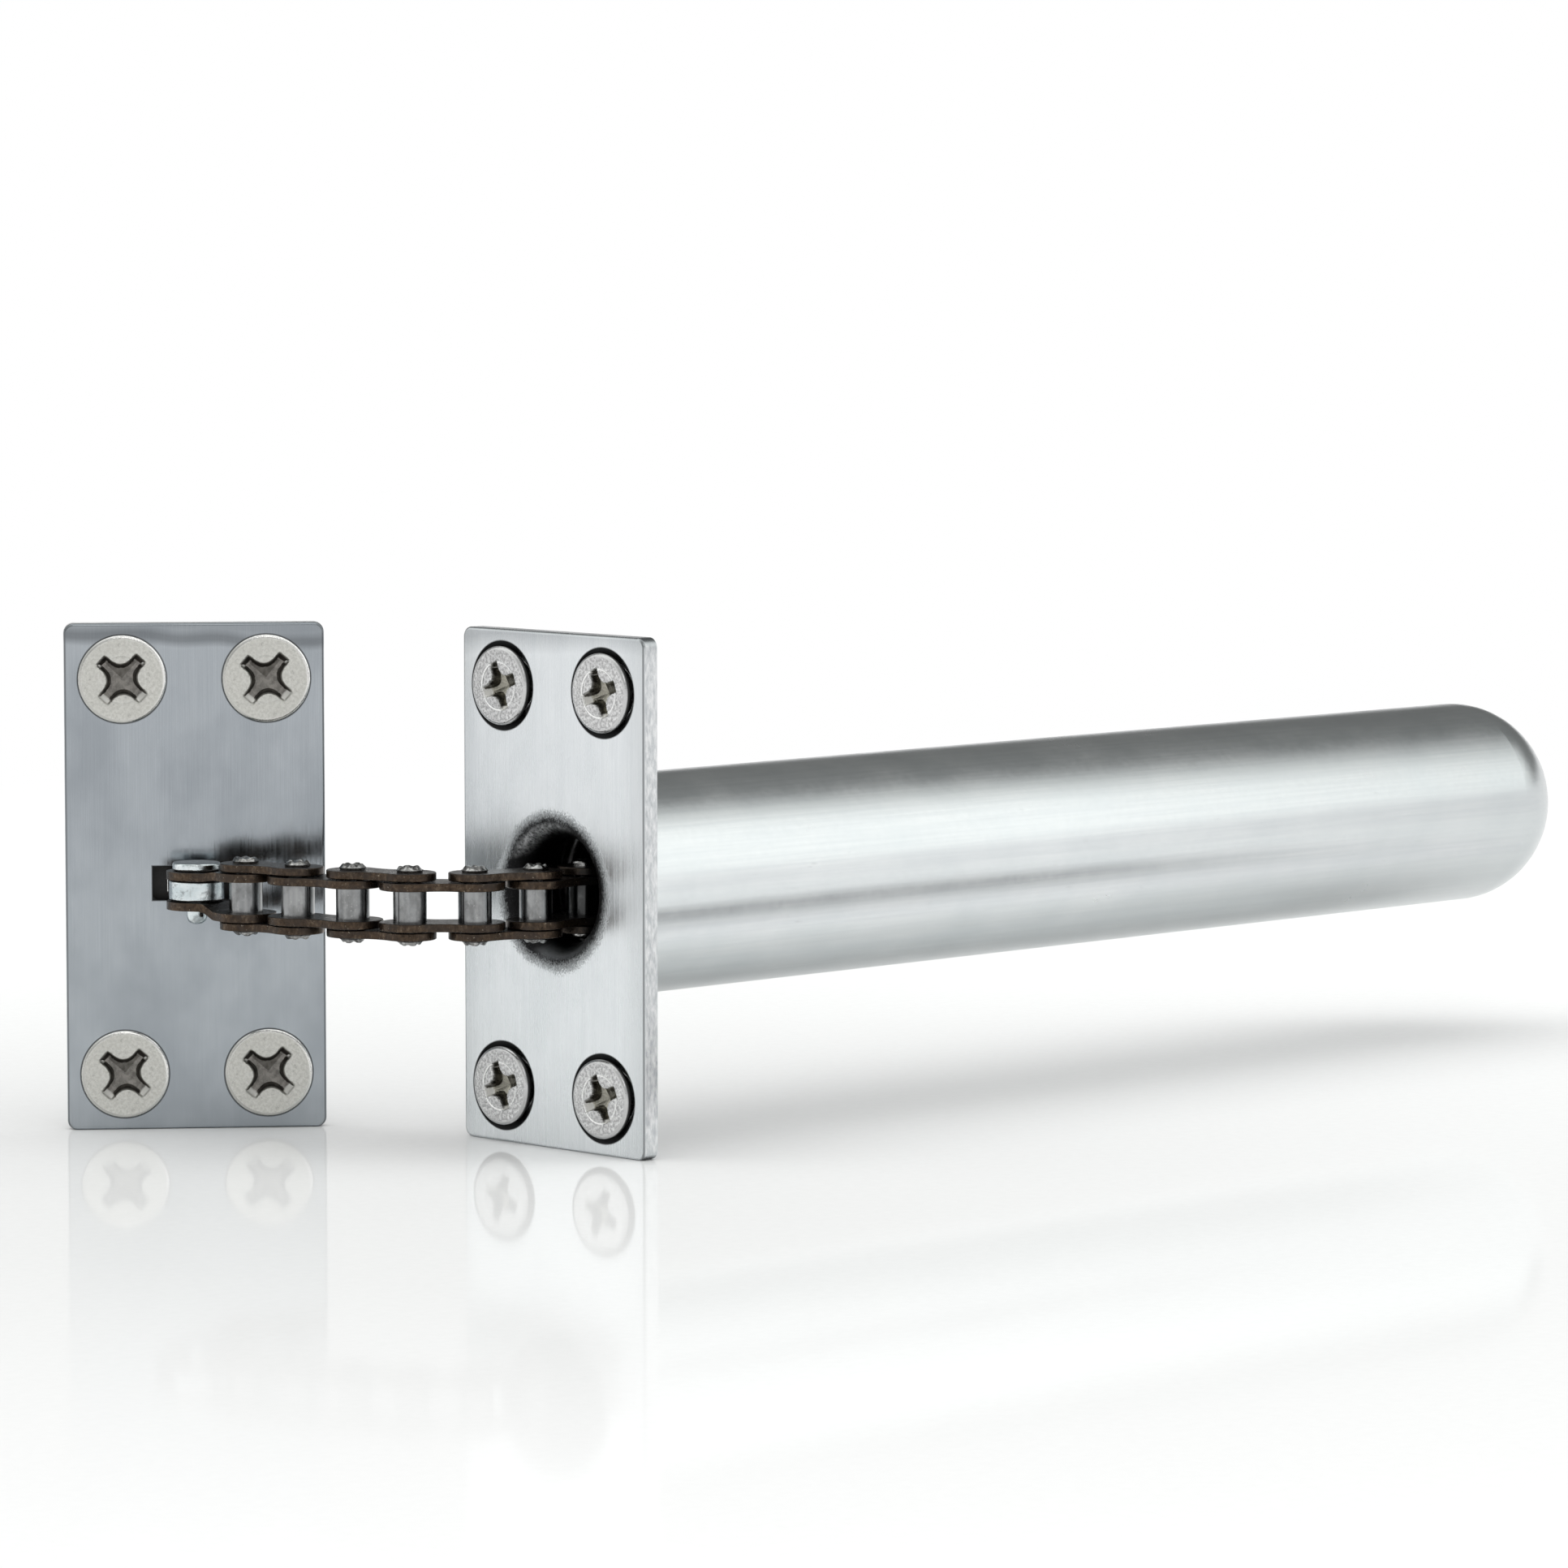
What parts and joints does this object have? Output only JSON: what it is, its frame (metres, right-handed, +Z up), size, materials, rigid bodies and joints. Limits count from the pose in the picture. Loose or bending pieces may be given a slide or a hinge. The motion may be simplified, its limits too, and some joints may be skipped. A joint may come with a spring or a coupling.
{
  "type": "concealed chain door closer",
  "caption": "Concealed door closer with a domed spring tube behind a forend plate and a bush chain pinned to a separate anchor plate.",
  "frame": {"origin": "centre of the forend plate's back (seating) face, on the spring tube's axis", "axes": "+X along the spring tube towards its domed end, +Z up the plates' length, +Y across the forend plate, to the side the chain curves to"},
  "size_m": [0.1736, 0.0586, 0.051],
  "materials": {
    "forend_steel": "light satin plate, brushed up its length",
    "anchor_steel": "blue-grey satin plate, brushed up its length",
    "screw_nickel": "matte nickel with a darker cross recess",
    "zinc_tube": "satin zinc plate",
    "plain_steel": "turned, lightly oiled",
    "spring_steel": "drawn spring wire",
    "bright_zinc": "bright zinc plate, a little worn",
    "chain_oxide": "dark brown oxide, oiled",
    "chain_bush": "drawn grey steel with a seam",
    "chain_pin": "hardened steel, bright riveted ends"
  },
  "bodies": {
    "housing": {"forend_plate": "forend_steel", "spring_tube": "zinc_tube", "spring_seat": "plain_steel", "forend_screws": "screw_nickel", "main_spring": "spring_steel"},
    "draw_gear": {"link_7_plates": "chain_oxide", "link_7_bushes": "chain_bush", "tube_outer_plates": "chain_oxide", "tube_pins": "chain_pin", "tube_inner_plates": "chain_oxide", "tube_bushes": "chain_bush", "draw_rod": "plain_steel", "plunger": "plain_steel", "plunger_washer": "plain_steel", "plunger_nut": "plain_steel"},
    "link_6": {"link_6_plates": "chain_oxide", "link_6_pins": "chain_pin"},
    "link_5": {"link_5_plates": "chain_oxide", "link_5_bushes": "chain_bush"},
    "link_4": {"link_4_plates": "chain_oxide", "link_4_pins": "chain_pin"},
    "link_3": {"link_3_plates": "chain_oxide", "link_3_bushes": "chain_bush"},
    "link_2": {"link_2_plates": "chain_oxide", "link_2_pins": "chain_pin"},
    "clevis_link": {"clevis_link_plates": "chain_oxide", "clevis_link_bush": "chain_bush"},
    "clevis_pin": {"clevis_pin": "bright_zinc"},
    "anchor": {"anchor_plate": "anchor_steel", "anchor_tongue": "bright_zinc", "tongue_backing": "plain_steel", "anchor_screws": "screw_nickel"}
  },
  "joints": [
    {"name": "draw_slide", "type": "slide", "parent": "housing", "child": "draw_gear", "axis": [-1, 0, 0], "range_m": [0, 0.022], "stiffness_N_per_m": 400, "springref_m": -0.044, "deforming": ["main_spring"]},
    {"name": "pivot_6", "type": "hinge", "parent": "draw_gear", "child": "link_6", "pos_m": [-0.00403, 0, -0.001], "axis": [0, 0, -1], "range_deg": [-38, 7]},
    {"name": "pivot_5", "type": "hinge", "parent": "link_6", "child": "link_5", "pos_m": [-0.00988, 0.00248, -0.001], "axis": [0, 0, -1], "range_deg": [-37, 8]},
    {"name": "pivot_4", "type": "hinge", "parent": "link_5", "child": "link_4", "pos_m": [-0.01437, 0.00697, -0.001], "axis": [0, 0, -1], "range_deg": [-40, 5]},
    {"name": "pivot_3", "type": "hinge", "parent": "link_4", "child": "link_3", "pos_m": [-0.01654, 0.01294, -0.001], "axis": [0, 0, -1], "range_deg": [-18, 27]},
    {"name": "pivot_2", "type": "hinge", "parent": "link_3", "child": "link_2", "pos_m": [-0.01839, 0.01901, -0.001], "axis": [0, 0, -1], "range_deg": [-19, 26]},
    {"name": "pivot_1", "type": "hinge", "parent": "link_2", "child": "clevis_link", "pos_m": [-0.01982, 0.0252, -0.001], "axis": [0, 0, -1], "range_deg": [-18, 27]},
    {"name": "tongue_pivot", "type": "hinge", "parent": "clevis_link", "child": "anchor", "pos_m": [-0.02092, 0.03145, -0.001], "axis": [0, 0, -1], "range_deg": [-94, 16]},
    {"name": "clevis_pin_lift", "type": "slide", "parent": "clevis_link", "child": "clevis_pin", "axis": [0, 0, 1], "range_m": [0, 0.008]}
  ]
}
